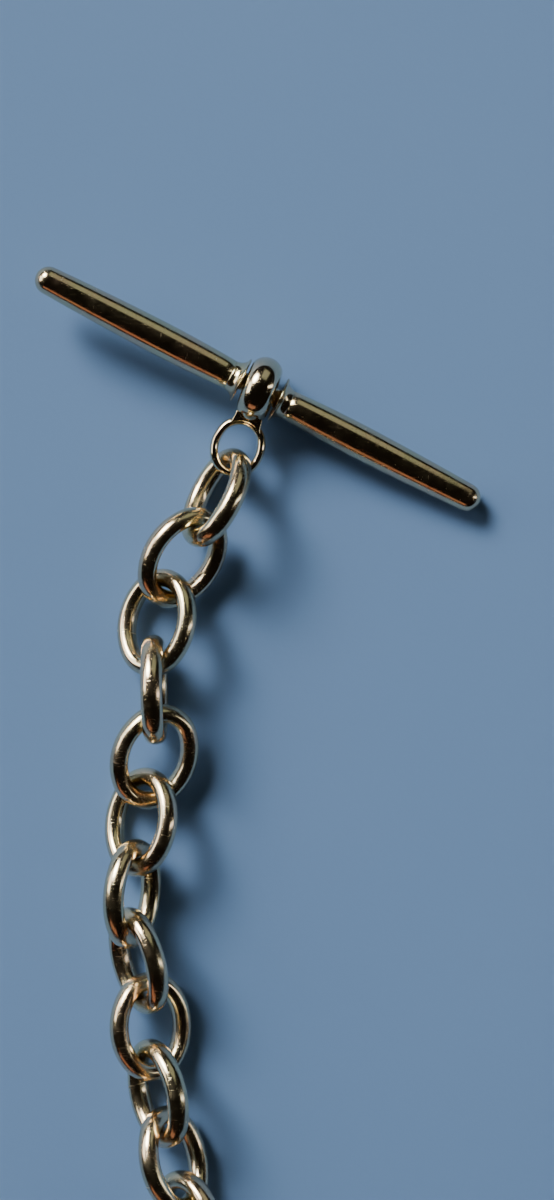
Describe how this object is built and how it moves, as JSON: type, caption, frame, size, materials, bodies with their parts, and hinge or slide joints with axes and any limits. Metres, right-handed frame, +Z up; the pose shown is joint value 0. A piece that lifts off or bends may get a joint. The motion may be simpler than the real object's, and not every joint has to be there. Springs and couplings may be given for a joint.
{
  "type": "pocket watch chain",
  "caption": "Gold pocket watch chain of oval belcher links with a swivelling toggle bar at one end and a sprung swivel clasp at the other, laid out flat.",
  "frame": {"origin": "on the table top, under the middle of the laid-out chain's bounding box", "axes": "+Z up from the table, +Y along the chain from the clasp towards the toggle bar, +X to the right seen from above with the toggle at the top"},
  "size_m": [0.0344, 0.2232, 0.0063],
  "materials": {
    "bar_gold": "polished gold, lightly scratched",
    "bail_gold": "polished gold",
    "link_gold": "polished gold, softened by wear",
    "clasp_gold": "polished gold",
    "spring_steel": "blued spring steel"
  },
  "bodies": {
    "toggle_bar": {"spindle": "bar_gold", "left_arm": "bar_gold", "right_arm": "bar_gold", "left_collar": "bar_gold", "right_collar": "bar_gold"},
    "bail": {"bail_ring": "bail_gold", "bail_loop": "bail_gold"},
    "link_01": {"link_01": "link_gold"},
    "link_02": {"link_02": "link_gold"},
    "link_03": {"link_03": "link_gold"},
    "link_04": {"link_04": "link_gold"},
    "link_05": {"link_05": "link_gold"},
    "link_06": {"link_06": "link_gold"},
    "link_07": {"link_07": "link_gold"},
    "link_08": {"link_08": "link_gold"},
    "link_09": {"link_09": "link_gold"},
    "link_10": {"link_10": "link_gold"},
    "link_11": {"link_11": "link_gold"},
    "link_12": {"link_12": "link_gold"},
    "link_13": {"link_13": "link_gold"},
    "link_14": {"link_14": "link_gold"},
    "link_15": {"link_15": "link_gold"},
    "link_16": {"link_16": "link_gold"},
    "link_17": {"link_17": "link_gold"},
    "link_18": {"link_18": "link_gold"},
    "link_19": {"link_19": "link_gold"},
    "link_20": {"link_20": "link_gold"},
    "link_21": {"link_21": "link_gold"},
    "link_22": {"link_22": "link_gold"},
    "link_23": {"link_23": "link_gold"},
    "link_24": {"link_24": "link_gold"},
    "link_25": {"link_25": "link_gold"},
    "link_26": {"link_26": "link_gold"},
    "link_27": {"link_27": "link_gold"},
    "link_28": {"link_28": "link_gold"},
    "link_29": {"link_29": "link_gold"},
    "link_30": {"link_30": "link_gold"},
    "link_31": {"link_31": "link_gold"},
    "link_32": {"link_32": "link_gold"},
    "link_33": {"link_33": "link_gold"},
    "link_34": {"link_34": "link_gold"},
    "link_35": {"link_35": "link_gold"},
    "link_36": {"link_36": "link_gold"},
    "link_37": {"link_37": "link_gold"},
    "link_38": {"link_38": "link_gold"},
    "link_39": {"link_39": "link_gold"},
    "link_40": {"link_40": "link_gold"},
    "swivel_eye": {"swivel_eye": "clasp_gold"},
    "clasp": {"clasp_body": "clasp_gold", "gate_pin": "clasp_gold", "gate_spring": "spring_steel"},
    "gate": {"clasp_gate": "clasp_gold"}
  },
  "joints": [
    {"name": "bail_spin", "type": "hinge", "parent": "toggle_bar", "child": "bail", "pos_m": [0.00182, 0.10331, 0.00244], "axis": [0.8878, -0.4524, -0.0842], "continuous": true},
    {"name": "link_01_swing", "type": "hinge", "parent": "bail", "child": "link_01", "pos_m": [-0.00037, 0.09761, 0.00244], "axis": [0.9336, -0.3584, 0], "range_deg": [-15, 30]},
    {"name": "link_02_swing", "type": "hinge", "parent": "link_01", "child": "link_02", "pos_m": [-0.00282, 0.09333, 0.00283], "axis": [-0.2309, 0.4854, -0.8433], "range_deg": [-45, 45]},
    {"name": "link_03_swing", "type": "hinge", "parent": "link_02", "child": "link_03", "pos_m": [-0.004, 0.0889, 0.00166], "axis": [-0.8798, -0.2315, 0.4151], "range_deg": [0, 45]},
    {"name": "link_04_swing", "type": "hinge", "parent": "link_03", "child": "link_04", "pos_m": [-0.00577, 0.08411, 0.00297], "axis": [0.8514, -0.0448, 0.5226], "range_deg": [-10, 45]},
    {"name": "link_05_swing", "type": "hinge", "parent": "link_04", "child": "link_05", "pos_m": [-0.00534, 0.07975, 0.00223], "axis": [-0.0175, -0.5304, 0.8476], "range_deg": [-15, 45]},
    {"name": "link_06_swing", "type": "hinge", "parent": "link_05", "child": "link_06", "pos_m": [-0.00715, 0.07529, 0.00233], "axis": [-0.7021, 0.592, 0.3957], "range_deg": [-45, 5]},
    {"name": "link_07_swing", "type": "hinge", "parent": "link_06", "child": "link_07", "pos_m": [-0.0066, 0.0703, 0.00301], "axis": [-0.7793, -0.1094, -0.6171], "range_deg": [-45, 45]},
    {"name": "link_08_swing", "type": "hinge", "parent": "link_07", "child": "link_08", "pos_m": [-0.00727, 0.06535, 0.00309], "axis": [0.4583, -0.135, -0.8785], "range_deg": [-15, 10]},
    {"name": "link_09_swing", "type": "hinge", "parent": "link_08", "child": "link_09", "pos_m": [-0.00668, 0.06113, 0.00161], "axis": [0.5451, -0.5567, 0.6268], "range_deg": [-45, 45]},
    {"name": "link_10_swing", "type": "hinge", "parent": "link_09", "child": "link_10", "pos_m": [-0.00626, 0.05614, 0.00245], "axis": [-0.8067, 0.3455, 0.4795], "range_deg": [-45, 45]},
    {"name": "link_11_swing", "type": "hinge", "parent": "link_10", "child": "link_11", "pos_m": [-0.00495, 0.05158, 0.00266], "axis": [-0.5868, 0.1206, -0.8007], "range_deg": [-45, 40]},
    {"name": "link_12_swing", "type": "hinge", "parent": "link_11", "child": "link_12", "pos_m": [-0.0026, 0.04759, 0.00186], "axis": [0.268, 0.6989, -0.6631], "range_deg": [-15, 45]},
    {"name": "link_13_swing", "type": "hinge", "parent": "link_12", "child": "link_13", "pos_m": [-0.00313, 0.04241, 0.0024], "axis": [0.7238, -0.1897, 0.6635], "range_deg": [-45, 45]},
    {"name": "link_14_swing", "type": "hinge", "parent": "link_13", "child": "link_14", "pos_m": [-0.0012, 0.03779, 0.00251], "axis": [-0.6767, -0.2054, 0.707], "range_deg": [-45, 45]},
    {"name": "link_15_swing", "type": "hinge", "parent": "link_14", "child": "link_15", "pos_m": [0.0001, 0.03298, 0.00256], "axis": [-0.6767, -0.2057, -0.7069], "range_deg": [-45, 45]},
    {"name": "link_16_swing", "type": "hinge", "parent": "link_15", "child": "link_16", "pos_m": [0.00131, 0.02813, 0.00248], "axis": [0.6784, 0.2004, -0.7068], "range_deg": [-45, 45]},
    {"name": "link_17_swing", "type": "hinge", "parent": "link_16", "child": "link_17", "pos_m": [0.00238, 0.02326, 0.00258], "axis": [0.6818, 0.1895, 0.7066], "range_deg": [-45, 45]},
    {"name": "link_18_swing", "type": "hinge", "parent": "link_17", "child": "link_18", "pos_m": [0.0033, 0.01835, 0.00246], "axis": [-0.6862, -0.1732, 0.7064], "range_deg": [-45, 45]},
    {"name": "link_19_swing", "type": "hinge", "parent": "link_18", "child": "link_19", "pos_m": [0.00402, 0.01342, 0.0026], "axis": [-0.6914, -0.152, -0.7063], "range_deg": [-45, 45]},
    {"name": "link_20_swing", "type": "hinge", "parent": "link_19", "child": "link_20", "pos_m": [0.00453, 0.00845, 0.00245], "axis": [0.6967, 0.1263, -0.7062], "range_deg": [-45, 45]},
    {"name": "link_21_swing", "type": "hinge", "parent": "link_20", "child": "link_21", "pos_m": [0.00481, 0.00347, 0.00261], "axis": [0.7014, 0.097, 0.7061], "range_deg": [-45, 45]},
    {"name": "link_22_swing", "type": "hinge", "parent": "link_21", "child": "link_22", "pos_m": [0.00486, -0.00152, 0.00245], "axis": [-0.7052, -0.0648, 0.7061], "range_deg": [-45, 45]},
    {"name": "link_23_swing", "type": "hinge", "parent": "link_22", "child": "link_23", "pos_m": [0.00467, -0.00651, 0.00261], "axis": [-0.7074, -0.0307, -0.7061], "range_deg": [-45, 45]},
    {"name": "link_24_swing", "type": "hinge", "parent": "link_23", "child": "link_24", "pos_m": [0.00425, -0.01149, 0.00245], "axis": [0.708, -0.0043, -0.7062], "range_deg": [-45, 45]},
    {"name": "link_25_swing", "type": "hinge", "parent": "link_24", "child": "link_25", "pos_m": [0.00361, -0.01644, 0.0026], "axis": [0.7068, -0.0392, 0.7063], "range_deg": [-45, 45]},
    {"name": "link_26_swing", "type": "hinge", "parent": "link_25", "child": "link_26", "pos_m": [0.00278, -0.02136, 0.00247], "axis": [-0.704, 0.0728, 0.7065], "range_deg": [-45, 45]},
    {"name": "link_27_swing", "type": "hinge", "parent": "link_26", "child": "link_27", "pos_m": [0.00176, -0.02625, 0.00258], "axis": [-0.6998, 0.1042, -0.7067], "range_deg": [-45, 45]},
    {"name": "link_28_swing", "type": "hinge", "parent": "link_27", "child": "link_28", "pos_m": [0.00061, -0.0311, 0.00249], "axis": [0.6948, -0.1326, -0.7068], "range_deg": [-45, 45]},
    {"name": "link_29_swing", "type": "hinge", "parent": "link_28", "child": "link_29", "pos_m": [-0.00066, -0.03593, 0.00256], "axis": [0.6896, -0.1571, 0.707], "range_deg": [-45, 45]},
    {"name": "link_30_swing", "type": "hinge", "parent": "link_29", "child": "link_30", "pos_m": [-0.00201, -0.04074, 0.00251], "axis": [-0.6846, 0.1771, 0.7071], "range_deg": [-45, 45]},
    {"name": "link_31_swing", "type": "hinge", "parent": "link_30", "child": "link_31", "pos_m": [-0.0034, -0.04553, 0.00253], "axis": [-0.6805, 0.1922, -0.7071], "range_deg": [-45, 45]},
    {"name": "link_32_swing", "type": "hinge", "parent": "link_31", "child": "link_32", "pos_m": [-0.00478, -0.05032, 0.00254], "axis": [0.6777, -0.202, -0.7071], "range_deg": [-45, 45]},
    {"name": "link_33_swing", "type": "hinge", "parent": "link_32", "child": "link_33", "pos_m": [-0.00613, -0.05513, 0.0025], "axis": [0.6765, -0.2061, 0.707], "range_deg": [-45, 45]},
    {"name": "link_34_swing", "type": "hinge", "parent": "link_33", "child": "link_34", "pos_m": [-0.00741, -0.05995, 0.00257], "axis": [-0.6771, 0.2046, 0.7069], "range_deg": [-45, 45]},
    {"name": "link_35_swing", "type": "hinge", "parent": "link_34", "child": "link_35", "pos_m": [-0.00858, -0.0648, 0.00248], "axis": [-0.6794, 0.1974, -0.7067], "range_deg": [-45, 45]},
    {"name": "link_36_swing", "type": "hinge", "parent": "link_35", "child": "link_36", "pos_m": [-0.0096, -0.06969, 0.00259], "axis": [0.6831, -0.1846, -0.7066], "range_deg": [-45, 45]},
    {"name": "link_37_swing", "type": "hinge", "parent": "link_36", "child": "link_37", "pos_m": [-0.01045, -0.0746, 0.00246], "axis": [0.6879, -0.1667, 0.7064], "range_deg": [-45, 45]},
    {"name": "link_38_swing", "type": "hinge", "parent": "link_37", "child": "link_38", "pos_m": [-0.0111, -0.07955, 0.0026], "axis": [-0.6932, 0.1439, 0.7062], "range_deg": [-45, 45]},
    {"name": "link_39_swing", "type": "hinge", "parent": "link_38", "child": "link_39", "pos_m": [-0.01154, -0.08452, 0.00245], "axis": [-0.6983, 0.1169, -0.7061], "range_deg": [-45, 45]},
    {"name": "link_40_swing", "type": "hinge", "parent": "link_39", "child": "link_40", "pos_m": [-0.01174, -0.08951, 0.00261], "axis": [0.7028, -0.0865, -0.7061], "range_deg": [-45, 45]},
    {"name": "eye_swing", "type": "hinge", "parent": "link_40", "child": "swivel_eye", "pos_m": [-0.01249, -0.09413, 0.00168], "axis": [0.5813, -0.5695, 0.5813], "range_deg": [-45, 45]},
    {"name": "clasp_swivel", "type": "hinge", "parent": "swivel_eye", "child": "clasp", "pos_m": [-0.01204, -0.09671, 0.00185], "axis": [0, -0.9989, -0.0469], "continuous": true},
    {"name": "gate_swing", "type": "hinge", "parent": "clasp", "child": "gate", "pos_m": [-0.01483, -0.1017, 0.00162], "axis": [0, -0.0469, 0.9989], "range_deg": [0, 30], "stiffness_Nm_per_rad": 0.002, "springref_deg": -17.19, "deforming": ["gate_spring"]}
  ]
}
